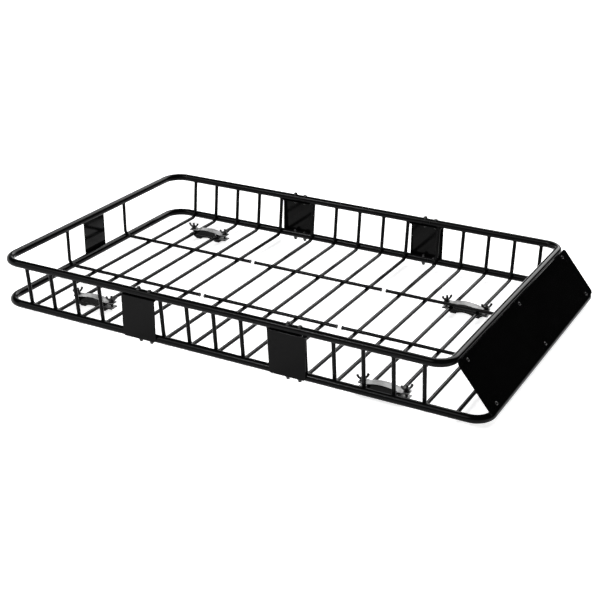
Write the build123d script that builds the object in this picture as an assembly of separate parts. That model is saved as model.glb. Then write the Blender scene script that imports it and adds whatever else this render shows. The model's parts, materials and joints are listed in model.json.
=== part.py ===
from build123d import *
import math
import os

# Roof cargo basket of black steel tube, bolted together from three sections.
# Millimetres.  +X is forward (the end with the wind fairing), +Y is left, +Z is up.
# The origin is under the middle of the basket, at the lowest level of its four clamps.

# Side rails: one ring of round tube at the floor and one at the top of the sides.
RAIL_D = 24.0
RAIL_WALL = 1.2
RAIL_R = RAIL_D / 2
RAIL_Y = 482.5
BOTTOM_Z = 26.2
TOP_Z = 164.4
REAR_X = -808.4
FRONT_BOTTOM_X = 809.9
FRONT_TOP_X = 697.9
REAR_BEND = 62.0
FRONT_BEND = 50.0

# The rings are cut at two seams, one behind and one ahead of the middle section.
REAR_SEAM_X = -266.2
FRONT_SEAM_X = 238.3
SEAMS = {"rear": REAR_SEAM_X, "front": FRONT_SEAM_X}
SEAM_GAP = 0.6

# Cross bars run across the floor and turn up at both ends to carry the top rail.
BAR_D = 12.0
BAR_WALL = 1.0
BAR_BEND = 22.0
BAR_Z = 20.5
BAR_CORNER_Y = 469.0
BARS_PER_SECTION = 5
BAR_MIDDLE_X = {"rear": -526.8, "middle": -27.6, "front": 450.2}
BAR_PITCH = {"rear": 92.2, "middle": 91.7, "front": 90.1}

# Two long bars lie on the cross bars and turn up at both ends of the basket.
LONG_BAR_D = 11.0
LONG_BAR_Y = 159.3
LONG_BAR_Z = 31.5
LONG_BAR_GAPS = {"rear": (-286.1, -264.6), "front": (207.4, 228.9)}
CAP_D = 13.4
CAP_FLANGE = 3.0
CAP_STEM = 12.0

# Splice plates: sheet bent under the top rail at each seam, and down over the bottom rail.
PLATE_T = 1.5
PLATE_LENGTH = 118.0
REAR_PLATE_LENGTH = 113.0
PLATE_FLANGE = 26.0
REAR_PLATE_FLANGE = 14.0
PLATE_BEHIND_SEAM = 15.5
PLATE_DROP = 8.0
PLATE_RELIEF = 6.0
PLATE_BEND = 1.2
BOLT_FROM_SEAM = 19.0
SLEEVE_LENGTH = 110.0
SLEEVE_WALL = 1.6
SLEEVE_PLAY = 0.1

# M6 fasteners.
M6_R = 3.0
M6_HOLE_R = 3.3
M6_ACROSS_FLATS = 10.0
M6_HEAD = 4.0
M6_LOW_HEAD = 1.6
M6_NUT = 4.6
HEX_CHAMFER = 0.7
NUT_FLANGE_R = 6.2
NUT_FLANGE = 1.4
SADDLE_R = 7.0
SADDLE_RISE = 2.2
LOW_SADDLE_RISE = 1.0
BOLT_TAIL = 1.6

# Fairing: flat sheet across the front, held on six tabs welded to the two front rails.
FAIRING_T = 1.5
FAIRING_HALF_WIDTH = 462.0
FAIRING_LOW = 2.6
FAIRING_HIGH = 170.8
FAIRING_CORNER_R = 11.0
SCREW_MARGIN = 14.5
SCREW_YS = (-410.0, 0.0, 410.0)
SCREW_HEAD_R = 5.6
SCREW_HEAD = 3.4
TAB_T = 3.0
TAB_WIDTH = 22.0
TAB_DEPTH = 24.0

# Clamps: an upper bracket on two cross bars, and a jaw hung from it on two bolts.
CLAMP_HALF_PITCH = {"rear": BAR_PITCH["rear"] / 2, "front": BAR_PITCH["front"] / 2}
CLAMP_OFF_MIDDLE = {"rear": 7.0, "front": 0.0}
CLAMP_X = {
    "rear": BAR_MIDDLE_X["rear"] - CLAMP_HALF_PITCH["rear"] + CLAMP_OFF_MIDDLE["rear"],
    "front": BAR_MIDDLE_X["front"] + CLAMP_HALF_PITCH["front"] + CLAMP_OFF_MIDDLE["front"],
}
CLAMP_Y = {
    ("rear", "left"): 340.0,
    ("rear", "right"): -340.0,
    ("front", "left"): 181.0,
    ("front", "right"): -432.0,
}
NUT_TURN = {
    ("rear", "left"): (8.0, 42.0),
    ("rear", "right"): (70.0, 34.0),
    ("front", "left"): (52.0, 40.0),
    ("front", "right"): (38.0, 46.0),
}
PLAY = 0.3
CLAMP_WIDTH = 30.0
CLAMP_HALF_LENGTH = 76.5
CLAMP_BOLT_X = 66.5
BRACKET_T = 3.0
BRACKET_SKIRT_Z = 16.0
BRACKET_ARCH_X = 47.0
BRACKET_ARCH_RISE = 7.0
SKIRT_CLEARANCE = 2.0
JAW_TOP_Z = BAR_Z - BAR_D / 2 - PLAY
JAW_FOOT_Z = 2.0
JAW_END_Z = 10.2
FOOT_INNER_X = 30.0
FOOT_OUTER_X = 48.0
FOOT_RISE_X = 61.0
ARCH_RISE = 7.0
PAD_T = 2.0
PAD_X = 39.0
PAD_LENGTH = 20.0
M8_R = 4.0
M8_HOLE_R = 4.6
M8_HEAD_R = 9.0
M8_HEAD = 4.0
M8_TOP_Z = 51.0
NUT_BORE_R = 4.3
WASHER_R = 9.5
WASHER_T = 1.6
HUB_FOOT_R = 8.2
HUB_TOP_R = 6.4
HUB_H = 9.5
WING_TIP_X = 18.5
WING_TIP_H = 19.0
WING_LOW_H = 9.0
WING_T = 3.6


def hollow_tube(points, bend, diameter, wall):
    """A round tube along straight runs with bends of one radius."""
    path = FilletPolyline(*points, radius=bend) if bend else Polyline(*points)
    start = Plane(origin=path @ 0, z_dir=path % 0)
    outside = sweep(start * Circle(diameter / 2), path=path)
    inside = sweep(start * Circle(diameter / 2 - wall), path=path)
    return outside - inside


def rod_between(start, end, radius):
    """A solid round rod from one point to another."""
    start, end = Vector(*start), Vector(*end)
    run = end - start
    middle = start + run * 0.5
    return Plane(origin=middle, z_dir=run) * Cylinder(radius, run.length)


def vertical_cylinder(x, y, low, high, radius):
    """A cylinder with a vertical axis, between two heights."""
    return Pos(x, y, (low + high) / 2) * Cylinder(radius, high - low)


def block(low, high):
    """A rectangular block from its lowest corner to its highest corner."""
    size = [b - a for a, b in zip(low, high)]
    middle = [(a + b) / 2 for a, b in zip(low, high)]
    return Pos(*middle) * Box(*size)


def mirrored(shape):
    """The same shape on the other side of the basket."""
    return mirror(shape, about=Plane.XZ)


def side_rail_cutter():
    """Solid rods in place of the four straight side rails, to cope what meets them."""
    rods = [
        rod_between((REAR_X, y, z), (FRONT_BOTTOM_X, y, z), RAIL_R)
        for y in (-RAIL_Y, RAIL_Y)
        for z in (BOTTOM_Z, TOP_Z)
    ]
    return Compound(rods)


def end_rail_cutter():
    """Solid rods in place of the rails across both ends of the basket."""
    ends = ((REAR_X, BOTTOM_Z), (REAR_X, TOP_Z), (FRONT_BOTTOM_X, BOTTOM_Z), (FRONT_TOP_X, TOP_Z))
    rods = [rod_between((x, -RAIL_Y, z), (x, RAIL_Y, z), RAIL_R) for x, z in ends]
    return Compound(rods)


def bar_xs(section):
    """The places of a section's cross bars along the basket."""
    middle, pitch = BAR_MIDDLE_X[section], BAR_PITCH[section]
    first = -(BARS_PER_SECTION - 1) / 2
    return [middle + (first + i) * pitch for i in range(BARS_PER_SECTION)]


def floor_bar_x():
    """The sixth bar of the front section, which has no uprights."""
    return bar_xs("front")[-1] + BAR_PITCH["front"]


def bolt_xs(seam_x):
    """The two bolts at a seam, one in each tube."""
    return (seam_x - BOLT_FROM_SEAM, seam_x + BOLT_FROM_SEAM)


def drill_seams(rail, seams, z):
    """Vertical bolt holes through a rail at the given seams, on both sides."""
    reach = RAIL_R + 1
    for seam_x in seams:
        for x in bolt_xs(seam_x):
            for y in (-RAIL_Y, RAIL_Y):
                rail -= vertical_cylinder(x, y, z - reach, z + reach, M6_HOLE_R)
    return rail


def rear_rail(z):
    """U-shaped rail round the rear section."""
    cut_x = REAR_SEAM_X - SEAM_GAP / 2
    points = [(cut_x, RAIL_Y, z), (REAR_X, RAIL_Y, z), (REAR_X, -RAIL_Y, z), (cut_x, -RAIL_Y, z)]
    return drill_seams(hollow_tube(points, REAR_BEND, RAIL_D, RAIL_WALL), [REAR_SEAM_X], z)


def front_rail(end_x, z):
    """U-shaped rail round the front section."""
    cut_x = FRONT_SEAM_X + SEAM_GAP / 2
    points = [(cut_x, RAIL_Y, z), (end_x, RAIL_Y, z), (end_x, -RAIL_Y, z), (cut_x, -RAIL_Y, z)]
    return drill_seams(hollow_tube(points, FRONT_BEND, RAIL_D, RAIL_WALL), [FRONT_SEAM_X], z)


def middle_rails(z):
    """The two straight rails of the middle section at one height."""
    rails = []
    for y in (-RAIL_Y, RAIL_Y):
        run = [(REAR_SEAM_X + SEAM_GAP / 2, y, z), (FRONT_SEAM_X - SEAM_GAP / 2, y, z)]
        rail = hollow_tube(run, 0, RAIL_D, RAIL_WALL)
        for bolt_x in (bolt_xs(REAR_SEAM_X)[1], bolt_xs(FRONT_SEAM_X)[0]):
            rail -= vertical_cylinder(bolt_x, y, z - RAIL_R - 1, z + RAIL_R + 1, M6_HOLE_R)
        rails.append(rail)
    return rails


def rail_sleeves(z):
    """Short inner tubes that bridge the seams inside the rails at one height."""
    sleeve_d = RAIL_D - 2 * RAIL_WALL - 2 * SLEEVE_PLAY
    half = SLEEVE_LENGTH / 2
    sleeves = []
    for seam_x in SEAMS.values():
        for y in (-RAIL_Y, RAIL_Y):
            run = [(seam_x - half, y, z), (seam_x + half, y, z)]
            sleeve = hollow_tube(run, 0, sleeve_d, SLEEVE_WALL)
            for x in bolt_xs(seam_x):
                sleeve -= vertical_cylinder(x, y, z - RAIL_R, z + RAIL_R, M6_HOLE_R)
            sleeves.append(sleeve)
    return sleeves


def cross_bar(x, cutter):
    """A cross bar with both ends turned up, coped where it meets the rails."""
    points = [
        (x, -RAIL_Y, TOP_Z),
        (x, -BAR_CORNER_Y, BAR_Z),
        (x, BAR_CORNER_Y, BAR_Z),
        (x, RAIL_Y, TOP_Z),
    ]
    return hollow_tube(points, BAR_BEND, BAR_D, BAR_WALL) - cutter


def floor_bar(cutter):
    """The straight bar across the floor near the front."""
    x = floor_bar_x()
    return hollow_tube([(x, -RAIL_Y, BAR_Z), (x, RAIL_Y, BAR_Z)], 0, BAR_D, BAR_WALL) - cutter


def long_bar_points(section, y):
    """The run of a long bar in one section."""
    rear_gap, front_gap = LONG_BAR_GAPS["rear"], LONG_BAR_GAPS["front"]
    if section == "rear":
        return [(rear_gap[0], y, LONG_BAR_Z), (REAR_X, y, LONG_BAR_Z), (REAR_X, y, TOP_Z)]
    if section == "middle":
        return [(rear_gap[1], y, LONG_BAR_Z), (front_gap[0], y, LONG_BAR_Z)]
    slope = (FRONT_BOTTOM_X - FRONT_TOP_X) / (TOP_Z - BOTTOM_Z)
    foot_x = FRONT_BOTTOM_X - slope * (LONG_BAR_Z - BOTTOM_Z)
    return [(front_gap[1], y, LONG_BAR_Z), (foot_x, y, LONG_BAR_Z), (FRONT_TOP_X, y, TOP_Z)]


def long_bars(section, rail_cutter):
    """A section's two long bars, with shallow saddles over its cross bars."""
    xs = bar_xs(section) + ([floor_bar_x()] if section == "front" else [])
    saddles = [
        rod_between((x, -LONG_BAR_Y - 20, BAR_Z), (x, LONG_BAR_Y + 20, BAR_Z), BAR_D / 2) for x in xs
    ]
    bend = 0 if section == "middle" else BAR_BEND
    bars = []
    for y in (-LONG_BAR_Y, LONG_BAR_Y):
        bar = hollow_tube(long_bar_points(section, y), bend, LONG_BAR_D, BAR_WALL)
        bars.append(bar - Compound(saddles) - rail_cutter)
    return bars


def long_bar_caps():
    """Plastic plugs in the open ends of the long bars, on both sides of each gap."""
    caps = []
    stem_r = LONG_BAR_D / 2 - BAR_WALL
    for low_x, high_x in LONG_BAR_GAPS.values():
        for x, outward in ((low_x, 1), (high_x, -1)):
            for y in (-LONG_BAR_Y, LONG_BAR_Y):
                face = (x, y, LONG_BAR_Z)
                flange = rod_between(face, (x + outward * CAP_FLANGE, y, LONG_BAR_Z), CAP_D / 2)
                rim = flange.edges().filter_by(GeomType.CIRCLE).group_by(Axis.X)[-1 if outward > 0 else 0]
                stem = rod_between(face, (x - outward * CAP_STEM, y, LONG_BAR_Z), stem_r)
                caps.append(fillet(rim, 1.2) + stem)
    return caps


def plate_blank(length, flange):
    """Bent plate along X: its web's outer face on Y = 0, its flange on top and towards -Y."""
    low, high = BOTTOM_Z - PLATE_DROP, TOP_Z - RAIL_R
    half = length / 2
    corners = [
        (0, low),
        (0, high),
        (-flange, high),
        (-flange, high - PLATE_T),
        (-PLATE_T, high - PLATE_T),
        (-PLATE_T, low),
    ]
    section = make_face(Polyline(*corners, close=True))
    outer_bend = [v for v in section.vertices() if v.X > -0.01 and v.Y > high - 0.01]
    section = fillet(outer_bend, PLATE_BEND + PLATE_T)
    inner_bend = [v for v in section.vertices() if abs(v.X + PLATE_T) < 0.01 and v.Y > low + 1]
    section = fillet(inner_bend, PLATE_BEND)
    plate = Plane.YZ.offset(-half) * extrude(section, length)
    for end in (-1, 1):
        relief = [
            (end * (half + 1), low - 1),
            (end * (half - PLATE_RELIEF), low - 1),
            (end * (half - PLATE_RELIEF), low),
            (end * (half + 1), low + PLATE_RELIEF + 1),
        ]
        corner = make_face(Polyline(*relief, close=True))
        plate -= Plane.XZ.offset(-1) * extrude(corner, flange + 2)
    return plate


def side_plate(seam_x):
    """The splice plate on the left side of a seam, with bolt holes and slots for the uprights."""
    outer_y = RAIL_Y + RAIL_R + PLATE_T
    high = TOP_Z - RAIL_R
    plate = Pos(seam_x - PLATE_BEHIND_SEAM, outer_y, 0) * plate_blank(PLATE_LENGTH, PLATE_FLANGE)
    for x in bolt_xs(seam_x):
        plate -= vertical_cylinder(x, RAIL_Y, high - 4, high + 1, M6_HOLE_R)
    slot_half = BAR_D / 2 + 1
    for x in bar_xs("rear") + bar_xs("middle") + bar_xs("front"):
        slot_low = (x - slot_half, outer_y - PLATE_FLANGE - 1, high - 2 * PLATE_T)
        plate -= block(slot_low, (x + slot_half, RAIL_Y + slot_half, high + 1))
    return plate


def rear_plate():
    """The blank plate at the middle of the rear end, hooked under the top rail."""
    blank = plate_blank(REAR_PLATE_LENGTH, REAR_PLATE_FLANGE)
    return Pos(REAR_X - RAIL_R - PLATE_T, 0, 0) * Rot(0, 0, 90) * blank


def hexagon(x, y, low, high, turned):
    """A hexagonal prism of M6 width across flats, its corners turned off at the "top" or "bottom"."""
    corner_r = M6_ACROSS_FLATS / math.cos(math.pi / 6) / 2
    prism = Pos(x, y, low) * extrude(RegularPolygon(corner_r, 6), high - low)
    envelope = vertical_cylinder(x, y, low, high, corner_r)
    rim = envelope.edges().group_by(Axis.Z)[-1 if turned == "top" else 0]
    return prism & chamfer(rim, HEX_CHAMFER)


def seam_bolt_places():
    """Every seam bolt: its place, and whether it is the low-headed one ahead of the seam."""
    return [
        (x, y, z, x > seam_x)
        for z in (BOTTOM_Z, TOP_Z)
        for seam_x in SEAMS.values()
        for x in bolt_xs(seam_x)
        for y in (-RAIL_Y, RAIL_Y)
    ]


def saddle_rise(low_head):
    """Height of a seam bolt's washer above its rail."""
    return LOW_SADDLE_RISE if low_head else SADDLE_RISE


def under_rail(z):
    """The level that the seam nuts bear on: the plate at the top, a washer at the bottom."""
    return z - RAIL_R - (PLATE_T if z == TOP_Z else SADDLE_RISE)


def saddle_washers(x, y, z, low_head, cutter):
    """Round washers hollowed to sit on the tube: one above the rail, and one below the bottom rail."""
    hole = vertical_cylinder(x, y, z - 2 * RAIL_R, z + 2 * RAIL_R, M6_HOLE_R)
    top = z + RAIL_R + saddle_rise(low_head)
    washers = [vertical_cylinder(x, y, top - 4.6, top, SADDLE_R) - cutter - hole]
    if z == BOTTOM_Z:
        low = under_rail(z)
        washers.append(vertical_cylinder(x, y, low, low + 4.6, SADDLE_R) - cutter - hole)
    return washers


def seam_bolt(x, y, z, low_head):
    """A hexagon-head bolt down through washer, rail, sleeve and plate."""
    seat = z + RAIL_R + saddle_rise(low_head)
    tail = under_rail(z) - NUT_FLANGE - M6_NUT - BOLT_TAIL
    head = hexagon(x, y, seat, seat + (M6_LOW_HEAD if low_head else M6_HEAD), "top")
    return head + vertical_cylinder(x, y, tail, seat, M6_R)


def flange_nut(x, y, top):
    """A flanged nut with its flange upwards, against a plate."""
    flange = vertical_cylinder(x, y, top - NUT_FLANGE, top, NUT_FLANGE_R)
    body = hexagon(x, y, top - NUT_FLANGE - M6_NUT, top - NUT_FLANGE, "bottom")
    return flange + body - vertical_cylinder(x, y, top - 9, top + 1, M6_R)


def fairing_plane():
    """Plane of the fairing's back: X across to the left, Y up the slope, Z outwards."""
    up = Vector(FRONT_TOP_X - FRONT_BOTTOM_X, 0, TOP_Z - BOTTOM_Z).normalized()
    across = Vector(0, 1, 0)
    out = across.cross(up)
    origin = Vector(FRONT_BOTTOM_X, 0, BOTTOM_Z) + out * RAIL_R
    return Plane(origin=origin, x_dir=across, z_dir=out)


def screw_places():
    """The fairing's screws in its own plane: across and up the slope."""
    rows = (FAIRING_LOW + SCREW_MARGIN, FAIRING_HIGH - SCREW_MARGIN)
    return [(across, up) for up in rows for across in SCREW_YS]


def fairing():
    """The flat sheet with rounded corners and six screw holes."""
    middle = (FAIRING_LOW + FAIRING_HIGH) / 2
    outline = Pos(0, middle) * RectangleRounded(
        2 * FAIRING_HALF_WIDTH, FAIRING_HIGH - FAIRING_LOW, FAIRING_CORNER_R
    )
    for across, up in screw_places():
        outline -= Pos(across, up) * Circle(M6_HOLE_R)
    return fairing_plane() * extrude(outline, FAIRING_T)


def fairing_tabs(cutter):
    """Small plates welded to the front rails, behind the fairing's screws."""
    tabs = []
    for across, up in screw_places():
        outline = Pos(across, up) * RectangleRounded(TAB_WIDTH, TAB_DEPTH, 3)
        outline -= Pos(across, up) * Circle(M6_HOLE_R)
        tabs.append(fairing_plane() * extrude(outline, -TAB_T) - cutter)
    return tabs


def fairing_screws():
    """Domed screws through the fairing and its tabs."""
    screws = []
    tail = TAB_T + NUT_FLANGE + M6_NUT + BOLT_TAIL
    for across, up in screw_places():
        dome = Cylinder(SCREW_HEAD_R, SCREW_HEAD, align=(Align.CENTER, Align.CENTER, Align.MIN))
        dome = fillet(dome.edges().group_by(Axis.Z)[-1], SCREW_HEAD * 0.75)
        socket = Pos(0, 0, SCREW_HEAD - 1.8) * extrude(RegularPolygon(2.3, 6), 3)
        shank = Pos(0, 0, -FAIRING_T - tail) * Cylinder(
            M6_R, FAIRING_T + tail, align=(Align.CENTER, Align.CENTER, Align.MIN)
        )
        screw = dome - socket + shank
        screws.append(fairing_plane() * Pos(across, up, FAIRING_T) * screw)
    return screws


def fairing_nuts():
    """Flanged nuts behind the tabs."""
    return [
        fairing_plane() * Pos(across, up, 0) * flange_nut(0, 0, -TAB_T) for across, up in screw_places()
    ]


def bracket_side(low, top):
    """Side view of the clamp bracket from one level up to its arched top, as wide as the clamp."""
    end, arch = CLAMP_HALF_LENGTH, BRACKET_ARCH_X
    with BuildPart() as side:
        with BuildSketch(Plane.XZ.offset(-CLAMP_WIDTH / 2)):
            with BuildLine():
                Polyline((-arch, top), (-end, top), (-end, low), (end, low), (end, top), (arch, top))
                ThreePointArc((arch, top), (0, top + BRACKET_ARCH_RISE), (-arch, top))
            make_face()
        extrude(amount=CLAMP_WIDTH)
    return side.part


def upper_bracket(half_pitch, off_middle):
    """Arched clamp plate over two cross bars, with skirts that hang between the bars."""
    low_z = BAR_Z + BAR_D / 2 + PLAY
    half_width = CLAMP_WIDTH / 2
    skirt_x = half_pitch - BAR_D / 2 - SKIRT_CLEARANCE
    whole = bracket_side(BRACKET_SKIRT_Z, low_z + BRACKET_T)
    strip = whole - bracket_side(BRACKET_SKIRT_Z - 1, low_z)
    skirts = [
        block((-skirt_x - off_middle, y, BRACKET_SKIRT_Z), (skirt_x - off_middle, y + BRACKET_T, 60))
        for y in (-half_width, half_width - BRACKET_T)
    ]
    outline = extrude(RectangleRounded(2 * CLAMP_HALF_LENGTH, CLAMP_WIDTH, 5), 60)
    bracket = (strip + (whole & Compound(skirts))) & outline
    for x in (-CLAMP_BOLT_X, CLAMP_BOLT_X):
        bracket -= vertical_cylinder(x, 0, low_z - 1, low_z + BRACKET_T + 1, M8_HOLE_R)
    return bracket


def lower_jaw():
    """Arched channel below the cross bars, with a foot under each bar."""
    top, foot = JAW_TOP_Z, JAW_FOOT_Z
    half_width = CLAMP_WIDTH / 2
    with BuildPart() as jaw:
        with BuildSketch(Plane.XZ.offset(-half_width)):
            with BuildLine():
                Polyline(
                    (-FOOT_INNER_X, foot),
                    (-FOOT_OUTER_X, foot),
                    (-FOOT_RISE_X, JAW_END_Z),
                    (-CLAMP_HALF_LENGTH, JAW_END_Z),
                    (-CLAMP_HALF_LENGTH, top),
                    (CLAMP_HALF_LENGTH, top),
                    (CLAMP_HALF_LENGTH, JAW_END_Z),
                    (FOOT_RISE_X, JAW_END_Z),
                    (FOOT_OUTER_X, foot),
                    (FOOT_INNER_X, foot),
                )
                ThreePointArc((FOOT_INNER_X, foot), (0, foot + ARCH_RISE), (-FOOT_INNER_X, foot))
            make_face()
        extrude(amount=CLAMP_WIDTH)
    inner_half = half_width - BRACKET_T
    hollow = block(
        (-CLAMP_HALF_LENGTH - 1, -inner_half, foot - 1), (CLAMP_HALF_LENGTH + 1, inner_half, top - BRACKET_T)
    )
    shape = jaw.part - hollow
    for x in (-CLAMP_BOLT_X, CLAMP_BOLT_X):
        shape -= vertical_cylinder(x, 0, top - BRACKET_T - 1, top + 1, M8_R)
    return shape


def jaw_pads():
    """Rubber pads under the two feet of the jaw."""
    pad = extrude(RectangleRounded(PAD_LENGTH, CLAMP_WIDTH, 3), PAD_T)
    return [Pos(x, 0, 0) * pad for x in (-PAD_X, PAD_X)]


def jaw_bolts():
    """Two M8 carriage bolts, with their heads inside the jaw."""
    seat = JAW_TOP_Z - BRACKET_T
    bolts = []
    for x in (-CLAMP_BOLT_X, CLAMP_BOLT_X):
        head = vertical_cylinder(x, 0, seat - M8_HEAD, seat, M8_HEAD_R)
        head = fillet(head.edges().group_by(Axis.Z)[0], M8_HEAD * 0.6)
        shank = vertical_cylinder(x, 0, seat, M8_TOP_Z, M8_R)
        shank = chamfer(shank.edges().group_by(Axis.Z)[-1], 0.8)
        bolts.append(head + shank)
    return bolts


def clamp_washers():
    """Flat washers on the upper bracket, under the wing nuts."""
    low = BAR_Z + BAR_D / 2 + PLAY + BRACKET_T
    return [
        vertical_cylinder(x, 0, low, low + WASHER_T, WASHER_R)
        - vertical_cylinder(x, 0, low - 1, low + WASHER_T + 1, M8_HOLE_R)
        for x in (-CLAMP_BOLT_X, CLAMP_BOLT_X)
    ]


def wing_nut(x, turn):
    """A wing nut on one of the clamp's bolts, turned about it."""
    low = BAR_Z + BAR_D / 2 + PLAY + BRACKET_T + WASHER_T + PLAY
    hub = Cone(HUB_FOOT_R, HUB_TOP_R, HUB_H, align=(Align.CENTER, Align.CENTER, Align.MIN))
    with BuildPart() as wing:
        with BuildSketch(Plane.XZ.offset(-WING_T / 2)):
            with BuildLine():
                Line((HUB_TOP_R - 2, 2.0), (HUB_TOP_R + 2.6, 3.4))
                Spline((HUB_TOP_R + 2.6, 3.4), (13.0, 6.2), (WING_TIP_X, WING_TIP_H - 5.5))
                ThreePointArc(
                    (WING_TIP_X, WING_TIP_H - 5.5), (WING_TIP_X - 2.2, WING_TIP_H), (11.2, WING_TIP_H - 4)
                )
                Spline((11.2, WING_TIP_H - 4), (8.6, 10.6), (HUB_TOP_R - 2, HUB_H))
                Line((HUB_TOP_R - 2, HUB_H), (HUB_TOP_R - 2, 2.0))
            make_face()
        extrude(amount=WING_T)
    other = wing.part.rotate(Axis.Z, 180)
    nut = hub + wing.part + other - Cylinder(NUT_BORE_R, 4 * HUB_H)
    return Pos(x, 0, low) * nut.rotate(Axis.Z, turn)


def write_clamp(end, side):
    """Write the nodes of one clamp, at its place on the cross bars."""
    place = Pos(CLAMP_X[end], CLAMP_Y[end, side], 0)
    turn_a, turn_b = NUT_TURN[end, side]
    name = f"{end}_{side}"
    write(f"{name}_upper_bracket", place * upper_bracket(CLAMP_HALF_PITCH[end], CLAMP_OFF_MIDDLE[end]))
    write(f"{name}_lower_jaw", place * lower_jaw())
    write(f"{name}_jaw_pads", [place * pad for pad in jaw_pads()])
    write(f"{name}_jaw_bolts", [place * bolt for bolt in jaw_bolts()])
    write(f"{name}_clamp_washers", [place * washer for washer in clamp_washers()])
    write(f"{name}_wing_nut_a", place * wing_nut(-CLAMP_BOLT_X, turn_a))
    write(f"{name}_wing_nut_b", place * wing_nut(CLAMP_BOLT_X, turn_b))


def write(name, shape):
    """Write one sub-part, of one solid or of several separate ones."""
    if isinstance(shape, list):
        shape = Compound([solid for part in shape for solid in part.solids()])
    export_step(shape, f"parts/{name}.step")


def main():
    os.makedirs("parts", exist_ok=True)
    sides, ends = side_rail_cutter(), end_rail_cutter()

    for level, z, front_x in (("top", TOP_Z, FRONT_TOP_X), ("bottom", BOTTOM_Z, FRONT_BOTTOM_X)):
        write(f"rear_{level}_rail", rear_rail(z))
        write(f"middle_{level}_rails", middle_rails(z))
        write(f"front_{level}_rail", front_rail(front_x, z))
        write(f"{level}_rail_sleeves", rail_sleeves(z))

    for section in ("rear", "middle", "front"):
        write(f"{section}_cross_bars", [cross_bar(x, sides) for x in bar_xs(section)])
        write(f"{section}_long_bars", long_bars(section, ends))
    write("front_floor_bar", floor_bar(sides))
    write("long_bar_caps", long_bar_caps())

    for end, seam_x in SEAMS.items():
        left = side_plate(seam_x)
        write(f"{end}_left_splice_plate", left)
        write(f"{end}_right_splice_plate", mirrored(left))
    write("rear_end_plate", rear_plate())

    places = seam_bolt_places()
    write("seam_bolts", [seam_bolt(*place) for place in places])
    washers = [washer for place in places for washer in saddle_washers(*place, sides)]
    write("seam_saddle_washers", washers)
    write("seam_nuts", [flange_nut(x, y, under_rail(z)) for x, y, z, low_head in places])

    write("fairing", fairing())
    write("fairing_tabs", fairing_tabs(ends))
    write("fairing_screws", fairing_screws())
    write("fairing_nuts", fairing_nuts())

    for end, side in CLAMP_Y:
        write_clamp(end, side)


main()
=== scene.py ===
import bpy
import json
import math
import random
from mathutils import Matrix, Vector


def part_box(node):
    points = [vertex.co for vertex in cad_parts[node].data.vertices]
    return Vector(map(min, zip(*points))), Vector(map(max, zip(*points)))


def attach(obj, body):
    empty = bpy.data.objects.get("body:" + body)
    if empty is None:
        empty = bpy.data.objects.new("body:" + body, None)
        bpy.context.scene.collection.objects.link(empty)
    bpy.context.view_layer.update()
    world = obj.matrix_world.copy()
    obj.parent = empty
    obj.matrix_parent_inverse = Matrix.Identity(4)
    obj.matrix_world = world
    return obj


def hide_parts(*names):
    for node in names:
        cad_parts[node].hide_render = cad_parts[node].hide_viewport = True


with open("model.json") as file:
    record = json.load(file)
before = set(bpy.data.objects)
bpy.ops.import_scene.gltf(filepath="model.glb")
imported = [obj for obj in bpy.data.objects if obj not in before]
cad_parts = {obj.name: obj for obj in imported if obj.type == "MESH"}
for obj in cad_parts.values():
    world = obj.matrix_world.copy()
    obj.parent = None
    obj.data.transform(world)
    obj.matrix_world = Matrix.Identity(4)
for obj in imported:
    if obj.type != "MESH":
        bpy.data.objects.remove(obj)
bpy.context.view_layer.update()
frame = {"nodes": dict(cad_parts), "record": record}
nodes = frame["nodes"]

# Camera, in metres and degrees
CAMERA_PLACE = Vector((1.6970, -3.1406, 1.6120))
CAMERA_AZIMUTH = 28.453
CAMERA_ELEVATION = 24.142
CAMERA_ROLL = 0.204
CAMERA_LENS = 72.83
SENSOR = 36.0

# Name, strength and width in degrees of each sun, and the way from the object to both
SUNS = (("key", 0.95, 40), ("glint", 0.38, 5))
SUN_DIRECTION = Vector((-0.43, -0.585, 0.695))

# The dark studio: a softbox behind the object, and a pale horizon behind its rear end. Each span
# is where a glow starts and ends, as a cosine or as a part of the unit vector toward it.
SOFTBOX_DIRECTION = (0.0, 0.8, 0.6)
SOFTBOX_SPAN = (0.895, 0.96)
SOFTBOX_GLOW = 6.5
STUDIO_GLOW = 0.006
HORIZON_HEIGHT_SPAN = (0.12, 0.4)
HORIZON_REAR_SPAN = (-0.56, -0.46)
HORIZON_GLOW = 2.0
HORIZON_GLOW_ELSEWHERE = 0.01

FLOOR_HALF = 60.0
FLOOR_GLOW = 0.8

# The basket's tubes, in metres, as in the CAD part
RAIL_R = 0.012
RAIL_Y = 0.4825
BOTTOM_Z = 0.0262
TOP_Z = 0.1644
REAR_X = -0.8084
BAR_R = 0.006
BAR_Z = 0.0205
BAR_CORNER_Y = 0.469
BAR_BEND = 0.022
BAR_MIDDLE_X = {"rear": -0.5268, "middle": -0.0276, "front": 0.4502}
BAR_PITCH = {"rear": 0.0922, "middle": 0.0917, "front": 0.0901}
FLOOR_BAR_X = BAR_MIDDLE_X["front"] + 3 * BAR_PITCH["front"]
LONG_BAR_R = 0.0055
LONG_BAR_Y = 0.1593
LONG_BAR_Z = 0.0315

ALONG = Vector((1, 0, 0))
ACROSS = Vector((0, 1, 0))

# The stretches of bar that are followed to find a joint's line. A bar that turns up can only
# meet the bottom rail below the first height and the top rail above the second.
RUN_START_Y = 0.44
REAR_RUN_LENGTH = 0.05
CROSSING_REACH = 0.01
BELOW_Z = 0.08
ABOVE_Z = 0.12
PATH_STEP = 0.0008
FINE_PATH_STEP = 0.0003
BEND_STEPS = 24

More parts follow.
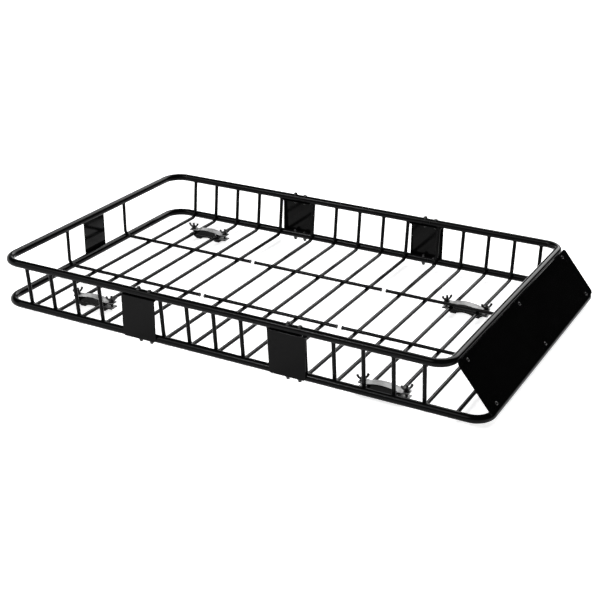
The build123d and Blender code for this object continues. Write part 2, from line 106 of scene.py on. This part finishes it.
# Weld beads, their ripples and rings, and how they vary. A crossing's curve is found on a bar
# that is thicker by the margin, and on more lines than a rail's.
BEAD_R = 0.0015
CROSSING_BEAD_R = BEAD_R * 0.8
CROSSING_MARGIN = 0.0001
RAIL_LINES = 40
CROSSING_LINES = 120
BEAD_RIPPLE = 0.0019
BEAD_STEP = 0.0006
FEWEST_RINGS = 12
BEAD_SIDES = 8
BEAD_FLATNESS = 0.85
BEAD_SIZES = (0.9, 1.12)
RIPPLE_LOW = 0.88
RIPPLE_RISE = 0.2
RIPPLE_NOISE = 0.03

# The clamps' M8 carriage bolts, with heights above the ground. The thread fades over the run-out
# at the tip. A hair keeps the neck and the head's rim just inside the CAD bolt.
THREAD_R = 0.004
THREAD_DEPTH = 0.00062
THREAD_PITCH = 0.00125
THREAD_SIDES = 28
THREAD_STEPS = 10
RUN_OUT = 0.0014
BOLT_HEAD_R = 0.009
BOLT_RIM = 0.0012
BOLT_DOME = 0.0027
DOME_STEPS = 6
BOLT_SEAT_Z = 0.0112
BOLT_NECK_TOP_Z = BOLT_SEAT_Z + 0.005
THREAD_LOW_Z = BOLT_SEAT_Z + 0.0055
BOLT_TOP_Z = 0.051
THREAD_TOP_Z = BOLT_TOP_Z - 0.0006
BOLT_TIP_R = THREAD_R * 0.72
DOME_HOLE_R = 0.00001
HAIR = 0.0001

# How much a material's colour and gloss vary, and how deep its fine texture is in metres
WEAR = 0.25
TEXTURE_DEPTH = 0.0004

# Scale and detail of the noise behind a material's colour, gloss and painted sheen on faces that look up
MOTTLE_NOISE = (9.0, 4.0)
GLOSS_NOISE = (38.0, 3.0)
SHEEN_NOISE = (60.0, 5.0)
FINE_DETAIL = 2.0
NOISE_SPAN = (0.3, 0.7)

# The painted sheen, a painted reflection of light from above, starts where a face's normal rises past
# the first value, and is full at the second
SHEEN_FACING_SPAN = (0.6, 0.97)
THINNEST_SHEEN = 0.55

# The look of each material slot
FINISHES = {
    "tube_paint": {"colour": (0.0022, 0.0022, 0.0023), "roughness": 0.13, "ior": 1.17},
    "plate_paint": {"colour": (0.002, 0.002, 0.0021), "roughness": 0.09, "ior": 1.17, "peel": 0.03},
    "fairing_paint": {"colour": (0.0012, 0.0012, 0.0013), "roughness": 0.1, "ior": 1.15, "peel": 0.03},
    # The clamps' faces that look up get a painted sheen, a painted reflection of light from above
    "clamp_paint": {
        "colour": (0.0025, 0.0025, 0.0026), "roughness": 0.22, "ior": 1.2, "peel": 0.1, "painted_sheen": 0.5
    },
    "black_fastener": {"colour": (0.004, 0.004, 0.0042), "roughness": 0.24, "ior": 1.5, "grain": 1500.0},
    "cap_plastic": {"colour": (0.008, 0.008, 0.008), "roughness": 0.45, "ior": 1.45, "peel": 0.15},
    "pad_rubber": {"colour": (0.012, 0.012, 0.012), "roughness": 0.8, "ior": 1.4, "peel": 0.5},
    "bare_steel": {"colour": (0.5, 0.5, 0.51), "roughness": 0.35, "metallic": 1.0, "grain": 300.0},
}


def add_camera():
    """The camera, from its place, the direction it looks back from, and a small roll."""
    azimuth, elevation, roll = (
        math.radians(a) for a in (CAMERA_AZIMUTH, CAMERA_ELEVATION, CAMERA_ROLL)
    )
    back = Vector(
        (
            math.sin(azimuth) * math.cos(elevation),
            -math.cos(azimuth) * math.cos(elevation),
            math.sin(elevation),
        )
    )
    right = Vector((0, 0, 1)).cross(back).normalized()
    up = back.cross(right)
    turned_right = math.cos(roll) * right + math.sin(roll) * up
    turned_up = math.cos(roll) * up - math.sin(roll) * right
    turn = Matrix((turned_right, turned_up, back)).transposed().to_4x4()
    data = bpy.data.cameras.new("camera")
    data.lens = CAMERA_LENS
    data.sensor_width = SENSOR
    data.clip_end = 200
    camera = bpy.data.objects.new("camera", data)
    camera.matrix_world = Matrix.Translation(CAMERA_PLACE) @ turn
    bpy.context.scene.collection.objects.link(camera)
    bpy.context.scene.camera = camera


def add_floor():
    """A wide pale floor, bright enough that shadows on it stay faint."""
    mesh = bpy.data.meshes.new("floor")
    half = FLOOR_HALF
    corners = [(-half, -half, 0), (half, -half, 0), (half, half, 0), (-half, half, 0)]
    mesh.from_pydata(corners, [], [(0, 1, 2, 3)])
    floor = bpy.data.objects.new("floor", mesh)
    bpy.context.scene.collection.objects.link(floor)
    material = bpy.data.materials.new("floor_white")
    material.use_nodes = True
    shader = material.node_tree.nodes["Principled BSDF"]
    shader.inputs["Base Color"].default_value = (0.86, 0.86, 0.865, 1)
    shader.inputs["Roughness"].default_value = 0.6
    shader.inputs["Emission Color"].default_value = (1, 1, 1, 1)
    shader.inputs["Emission Strength"].default_value = FLOOR_GLOW
    mesh.materials.append(material)


def add_lights():
    """A soft key with a small bright core, and a dark studio with a softbox and a pale horizon."""
    for name, energy, width in SUNS:
        sun = bpy.data.lights.new(name, "SUN")
        sun.energy = energy
        sun.angle = math.radians(width)
        lamp = bpy.data.objects.new(name, sun)
        lamp.rotation_euler = SUN_DIRECTION.to_track_quat("Z", "Y").to_euler()
        bpy.context.scene.collection.objects.link(lamp)

    world = bpy.data.worlds.new("studio")
    bpy.context.scene.world = world
    world.use_nodes = True
    tree = world.node_tree
    tree.nodes.clear()
    add, link = tree.nodes.new, tree.links.new
    direction = add("ShaderNodeTexCoord").outputs["Generated"]
    split = add("ShaderNodeSeparateXYZ")
    link(direction, split.inputs[0])
    toward_box = add("ShaderNodeVectorMath")
    toward_box.operation = "DOT_PRODUCT"
    toward_box.inputs[1].default_value = SOFTBOX_DIRECTION
    link(direction, toward_box.inputs[0])

    def ramp(source, span, at_low, at_high):
        node = add("ShaderNodeMapRange")
        node.interpolation_type = "SMOOTHSTEP"
        values = (*span, at_low, at_high)
        for name, value in zip(("From Min", "From Max", "To Min", "To Max"), values):
            node.inputs[name].default_value = value
        link(source, node.inputs["Value"])
        return node.outputs[0]

    def combine(operation, first, second):
        node = add("ShaderNodeMath")
        node.operation = operation
        link(first, node.inputs[0])
        link(second, node.inputs[1])
        return node.outputs[0]

    low_down = ramp(split.outputs["Z"], HORIZON_HEIGHT_SPAN, 1.0, 0.0)
    to_the_rear = ramp(split.outputs["X"], HORIZON_REAR_SPAN, HORIZON_GLOW, HORIZON_GLOW_ELSEWHERE)
    softbox = ramp(toward_box.outputs["Value"], SOFTBOX_SPAN, STUDIO_GLOW, SOFTBOX_GLOW)
    glow = combine("ADD", combine("MULTIPLY", low_down, to_the_rear), softbox)
    background = add("ShaderNodeBackground")
    link(glow, background.inputs["Color"])
    link(background.outputs[0], add("ShaderNodeOutputWorld").inputs[0])


def finish_material(name, colour, roughness, ior=1.4, metallic=0.0, grain=700.0, peel=0.05, painted_sheen=0.0):
    """Paint, plastic, rubber or steel: mottled colour, uneven gloss and a fine texture.

    Grain is the scale of the fine texture, and peel is its strength. The painted sheen is the brightness
    of a painted reflection of light from above on the faces that look up, and 0 leaves it out.
    """
    material = bpy.data.materials.new(name)
    material.use_nodes = True
    tree = material.node_tree
    add, link = tree.nodes.new, tree.links.new
    shader = tree.nodes["Principled BSDF"]
    shader.inputs["IOR"].default_value = ior
    shader.inputs["Metallic"].default_value = metallic
    place = add("ShaderNodeTexCoord").outputs["Object"]

    def noise(scale, detail):
        node = add("ShaderNodeTexNoise")
        node.inputs["Scale"].default_value = scale
        node.inputs["Detail"].default_value = detail
        link(place, node.inputs["Vector"])
        return node.outputs[0]

    def spread(source, low, high, span=NOISE_SPAN):
        node = add("ShaderNodeMapRange")
        node.inputs["From Min"].default_value = span[0]
        node.inputs["From Max"].default_value = span[1]
        node.inputs["To Min"].default_value = low
        node.inputs["To Max"].default_value = high
        link(source, node.inputs["Value"])
        return node.outputs[0]

    mottle = add("ShaderNodeMix")
    mottle.data_type = "RGBA"
    dull = [c * (1 + 2 * WEAR) for c in colour]
    mottle.inputs["A"].default_value = (*colour, 1)
    mottle.inputs["B"].default_value = (*dull, 1)
    link(spread(noise(*MOTTLE_NOISE), 0.0, 1.0), mottle.inputs["Factor"])
    colour_now = mottle.outputs["Result"]
    # Painted sheen: faces that look up are painted lighter, standing in for a reflection of light from
    # above
    if painted_sheen:
        facing = add("ShaderNodeSeparateXYZ")
        link(add("ShaderNodeNewGeometry").outputs["Normal"], facing.inputs[0])
        amount = add("ShaderNodeMath")
        amount.operation = "MULTIPLY"
        link(spread(facing.outputs["Z"], 0.0, 1.0, SHEEN_FACING_SPAN), amount.inputs[0])
        link(spread(noise(*SHEEN_NOISE), THINNEST_SHEEN, 1.0), amount.inputs[1])
        sheened = add("ShaderNodeMix")
        sheened.data_type = "RGBA"
        link(amount.outputs[0], sheened.inputs["Factor"])
        link(colour_now, sheened.inputs["A"])
        sheened.inputs["B"].default_value = (painted_sheen, painted_sheen, painted_sheen, 1)
        colour_now = sheened.outputs["Result"]
    link(colour_now, shader.inputs["Base Color"])
    gloss = spread(noise(*GLOSS_NOISE), roughness * (1 - WEAR / 2), roughness * (1 + WEAR))
    link(gloss, shader.inputs["Roughness"])

    fine = add("ShaderNodeBump")
    fine.inputs["Strength"].default_value = peel
    fine.inputs["Distance"].default_value = TEXTURE_DEPTH
    link(noise(grain, FINE_DETAIL), fine.inputs["Height"])
    link(fine.outputs[0], shader.inputs["Normal"])
    return material


def make_piece(name, verts, faces):
    """A smooth-shaded object from vertices and faces."""
    mesh = bpy.data.meshes.new(name)
    mesh.from_pydata([tuple(v) for v in verts], [], faces)
    mesh.update()
    mesh.shade_smooth()
    piece = bpy.data.objects.new(name, mesh)
    bpy.context.scene.collection.objects.link(piece)
    return piece


def finish_piece(piece, body, slot):
    """Attach a piece to its body, its record slot and that slot's material."""
    piece.data.materials.clear()
    piece.data.materials.append(materials[slot])
    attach(piece, body)


def path_with_bend(points, bend, step):
    """Closely spaced points along straight runs whose corners are rounded to one radius."""
    points = [Vector(p) for p in points]
    line = [points[0]]
    for before, corner, after in zip(points, points[1:], points[2:]):
        back, ahead = (before - corner).normalized(), (after - corner).normalized()
        half_angle = back.angle(ahead) / 2
        trim = bend / math.tan(half_angle)
        centre = corner + (back + ahead).normalized() * (bend / math.sin(half_angle))
        start, end = corner + back * trim - centre, corner + ahead * trim - centre
        turn = math.pi - 2 * half_angle
        for i in range(BEND_STEPS + 1):
            mix = start * math.sin(turn * (1 - i / BEND_STEPS)) + end * math.sin(turn * i / BEND_STEPS)
            line.append(centre + mix / math.sin(turn))
    line.append(points[-1])
    dense = []
    for a, b in zip(line, line[1:]):
        count = max(1, round((b - a).length / step))
        dense += [a.lerp(b, i / count) for i in range(count)]
    return dense + [line[-1]]


def meeting_curve(path, radius, rail_point, rail_axis, rail_r, lines):
    """The closed curve where a tube along a path meets a round rail, with the way out at each point.

    It follows lines along the tube's surface and notes where they go into the rail and out of it.
    """
    def clear_of_rail(point):
        """How far a point is outside the rail, and the way out of the rail there."""
        away = point - rail_point
        away -= rail_axis * away.dot(rail_axis)
        return away.length - rail_r, away.normalized()

    tangents = [(b - a).normalized() for a, b in zip(path, path[1:])]
    tangents.append(tangents[-1])
    side = tangents[0].orthogonal().normalized()
    frames = []
    for tangent in tangents:
        side = (side - tangent * side.dot(tangent)).normalized()
        frames.append((side, tangent.cross(side)))
    entering, leaving = [], []
    for k in range(lines):
        turn = 2 * math.pi * k / lines
        rows = []
        for centre, (u, v) in zip(path, frames):
            out = u * math.cos(turn) + v * math.sin(turn)
            rows.append((centre + out * radius, out))
        gaps = [clear_of_rail(point)[0] for point, out in rows]
        crossings = []
        for i in range(len(gaps) - 1):
            if (gaps[i] > 0) != (gaps[i + 1] > 0):
                share = gaps[i] / (gaps[i] - gaps[i + 1])
                point = rows[i][0].lerp(rows[i + 1][0], share)
                way = (rows[i][1] + clear_of_rail(point)[1]).normalized()
                crossings.append((point, way))
        if crossings:
            entering.append((k, crossings[0]))
        if len(crossings) > 1:
            leaving.append((k, crossings[1]))
    if not leaving:
        return [item for k, item in entering]

    def starts_run(i):
        return entering[i][0] - entering[i - 1][0] not in (1, 1 - lines)

    # The way in along the tube's lines and the way back over the same lines make one loop
    first = next((i for i in range(len(entering)) if starts_run(i)), 0)
    entering = entering[first:] + entering[:first]
    back = dict(leaving)
    return [item for k, item in entering] + [back[k] for k, item in reversed(entering) if k in back]


def bead_mesh(name, curves, radius, seed):
    """One mesh of weld beads: rippled tubes along closed curves."""
    chance = random.Random(seed)
    verts, faces = [], []
    sides = BEAD_SIDES
    for curve in curves:
        points = [p for p, way in curve]
        lengths = [(points[(i + 1) % len(points)] - p).length for i, p in enumerate(points)]
        total = sum(lengths)
        count = max(FEWEST_RINGS, round(total / BEAD_STEP))
        stations = []
        i, passed = 0, 0.0
        for k in range(count):
            goal = total * k / count
            while passed + lengths[i] < goal and i < len(points) - 1:
                passed += lengths[i]
                i += 1
            share = (goal - passed) / max(lengths[i], 1e-9)
            nxt = (i + 1) % len(points)
            place = points[i].lerp(points[nxt], share)
            stations.append((place, curve[i][1].lerp(curve[nxt][1], share).normalized()))
        base = len(verts)
        phase = chance.random()
        size = radius * chance.uniform(*BEAD_SIZES)
        for k, (place, way) in enumerate(stations):
            tangent = (stations[(k + 1) % count][0] - stations[k - 1][0]).normalized()
            way = (way - tangent * way.dot(tangent)).normalized()
            across = tangent.cross(way)
            wave = (total * k / count / BEAD_RIPPLE + phase) % 1.0
            noise = chance.uniform(-RIPPLE_NOISE, RIPPLE_NOISE)
            thick = size * (RIPPLE_LOW + RIPPLE_RISE * math.sqrt(wave) + noise)
            for s in range(sides):
                angle = 2 * math.pi * s / sides
                out = way * math.cos(angle) * BEAD_FLATNESS + across * math.sin(angle)
                verts.append(place + out * thick)
        for k in range(count):
            for s in range(sides):
                a, b = base + k * sides, base + (k + 1) % count * sides
                t = (s + 1) % sides
                faces.append((a + s, b + s, b + t, a + t))
    return make_piece(name, verts, faces)


def bar_xs(section):
    """The places of a section's five evenly spaced cross bars."""
    return [BAR_MIDDLE_X[section] + i * BAR_PITCH[section] for i in (-2, -1, 0, 1, 2)]


def rail_curves(path, radius, rail_x, rail_y, rail_axis):
    """Where a tube that turns up meets the bottom rail and then the top rail."""
    low = [p for p in path if p.z < BELOW_Z]
    high = [p for p in path if p.z > ABOVE_Z]
    return [
        meeting_curve(part, radius, Vector((rail_x, rail_y, level)), rail_axis, RAIL_R, RAIL_LINES)
        for part, level in ((low, BOTTOM_Z), (high, TOP_Z))
    ]


def upright_curves(section):
    """Where the turned-up ends of a section's cross bars meet the side rails."""
    curves = []
    for x in bar_xs(section):
        for side in (-1, 1):
            y = side * RAIL_Y
            run = [(x, side * RUN_START_Y, BAR_Z), (x, side * BAR_CORNER_Y, BAR_Z), (x, y, TOP_Z)]
            path = path_with_bend(run, BAR_BEND, PATH_STEP)
            curves += rail_curves(path, BAR_R, 0, y, ALONG)
    return curves


def rear_end_curves():
    """Where the turned-up rear ends of the long bars meet the rear rails."""
    curves = []
    for side in (-1, 1):
        y = side * LONG_BAR_Y
        run = [(REAR_X + REAR_RUN_LENGTH, y, LONG_BAR_Z), (REAR_X, y, LONG_BAR_Z), (REAR_X, y, TOP_Z)]
        path = path_with_bend(run, BAR_BEND, PATH_STEP)
        curves += rail_curves(path, LONG_BAR_R, REAR_X, 0, ACROSS)
    return curves


def crossing_curves(section):
    """Where the long bars lie on a section's cross bars, and on the front floor bar."""
    xs = bar_xs(section)
    if section == "front":
        xs.append(FLOOR_BAR_X)
    bar_r = BAR_R + CROSSING_MARGIN
    curves = []
    for x in xs:
        bar_place = Vector((x, 0, BAR_Z))
        for y in (-LONG_BAR_Y, LONG_BAR_Y):
            run = [(x - CROSSING_REACH, y, LONG_BAR_Z), (x + CROSSING_REACH, y, LONG_BAR_Z)]
            path = path_with_bend(run, 0, FINE_PATH_STEP)
            curves.append(meeting_curve(path, LONG_BAR_R, bar_place, ACROSS, bar_r, CROSSING_LINES))
    return curves


def add_welds():
    """Beads where uprights and the long bars' rear ends meet the rails, and where bars cross."""
    for section in ("rear", "middle", "front"):
        upright = upright_curves(section)
        if section == "rear":
            upright += rear_end_curves()
        for name, curves, radius in (
            ("upright_welds", upright, BEAD_R),
            ("crossing_welds", crossing_curves(section), CROSSING_BEAD_R),
        ):
            piece = bead_mesh(f"{section}_{name}", curves, radius, f"{section}{name}")
            finish_piece(piece, "root", "tube_paint")


def cast_wing_nuts():
    """Wing nuts with the soft edges of a casting, each from its CAD node's shape."""
    for end in ("rear", "front"):
        for side in ("left", "right"):
            for letter in ("a", "b"):
                node = f"{end}_{side}_wing_nut_{letter}"
                mesh = nodes[node].data.copy()
                piece = bpy.data.objects.new(f"{node}_cast", mesh)
                bpy.context.scene.collection.objects.link(piece)
                remesh = piece.modifiers.new("cast", "REMESH")
                remesh.mode = "VOXEL"
                remesh.voxel_size = 0.00045
                remesh.use_smooth_shade = True
                soften = piece.modifiers.new("soften", "SMOOTH")
                soften.factor = 0.5
                soften.iterations = 7
                graph = bpy.context.evaluated_depsgraph_get()
                cast = bpy.data.meshes.new_from_object(piece.evaluated_get(graph))
                piece.modifiers.clear()
                piece.data = cast
                finish_piece(piece, f"{end}_{side}_nut_{letter}", "black_fastener")
                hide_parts(node)


def threaded_bolt(centre_x, centre_y):
    """Vertices and faces of a carriage bolt: domed head inside the jaw, plain neck and M8 thread."""
    verts, faces = [], []
    sides = THREAD_SIDES
    neck_r = THREAD_R - HAIR
    profile = []
    for i in range(DOME_STEPS + 1):
        turn = math.pi / 2 * i / DOME_STEPS
        height = BOLT_SEAT_Z - BOLT_RIM - BOLT_DOME * math.cos(turn)
        profile.append((BOLT_HEAD_R * math.sin(turn) + DOME_HOLE_R, height))
    profile.append((BOLT_HEAD_R, BOLT_SEAT_Z - HAIR))
    profile.append((neck_r, BOLT_SEAT_Z))
    profile.append((neck_r, BOLT_NECK_TOP_Z))
    rows = [[point] * sides for point in profile]
    count = round((THREAD_TOP_Z - THREAD_LOW_Z) / THREAD_PITCH * THREAD_STEPS)
    for i in range(count + 1):
        z = THREAD_LOW_Z + (THREAD_TOP_Z - THREAD_LOW_Z) * i / count
        run_out = min(1.0, (BOLT_TOP_Z - z) / RUN_OUT)
        row = []
        for s in range(sides):
            wave = ((z - THREAD_LOW_Z) / THREAD_PITCH - s / sides) % 1.0
            ridge = 1 - abs(2 * wave - 1)
            row.append((THREAD_R - THREAD_DEPTH * (1 - ridge * run_out), z))
        rows.append(row)
    rows.append([(BOLT_TIP_R, BOLT_TOP_Z)] * sides)
    for row in rows:
        for s, (r, z) in enumerate(row):
            angle = 2 * math.pi * s / sides
            verts.append((centre_x + r * math.cos(angle), centre_y + r * math.sin(angle), z))
    for i in range(len(rows) - 1):
        for s in range(sides):
            a, b = i * sides, (i + 1) * sides
            t = (s + 1) % sides
            faces.append((a + s, a + t, b + t, b + s))
    faces.append(tuple(reversed(range(sides))))
    faces.append(tuple(range((len(rows) - 1) * sides, len(rows) * sides)))
    return verts, faces


def thread_jaw_bolts():
    """Both bolts of every clamp, with real threads."""
    for end in ("rear", "front"):
        for side in ("left", "right"):
            node = f"{end}_{side}_jaw_bolts"
            low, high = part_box(node)
            y = (low[1] + high[1]) / 2
            verts, faces = [], []
            for x in (low[0] + BOLT_HEAD_R, high[0] - BOLT_HEAD_R):
                more, rings = threaded_bolt(x, y)
                faces += [tuple(v + len(verts) for v in ring) for ring in rings]
                verts += more
            piece = make_piece(f"{node}_threaded", verts, faces)
            finish_piece(piece, f"{end}_{side}_jaw", "black_fastener")
            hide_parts(node)


add_camera()
add_floor()
add_lights()
bpy.context.scene.view_settings.view_transform = "Standard"

materials = {slot: finish_material(slot, **look) for slot, look in FINISHES.items()}
slots = {part["node"]: part["material_slot"] for part in frame["record"]["subparts"]}
for name, node in nodes.items():
    for place in node.material_slots:
        place.material = materials[slots[name]]

add_welds()
cast_wing_nuts()
thread_jaw_bolts()
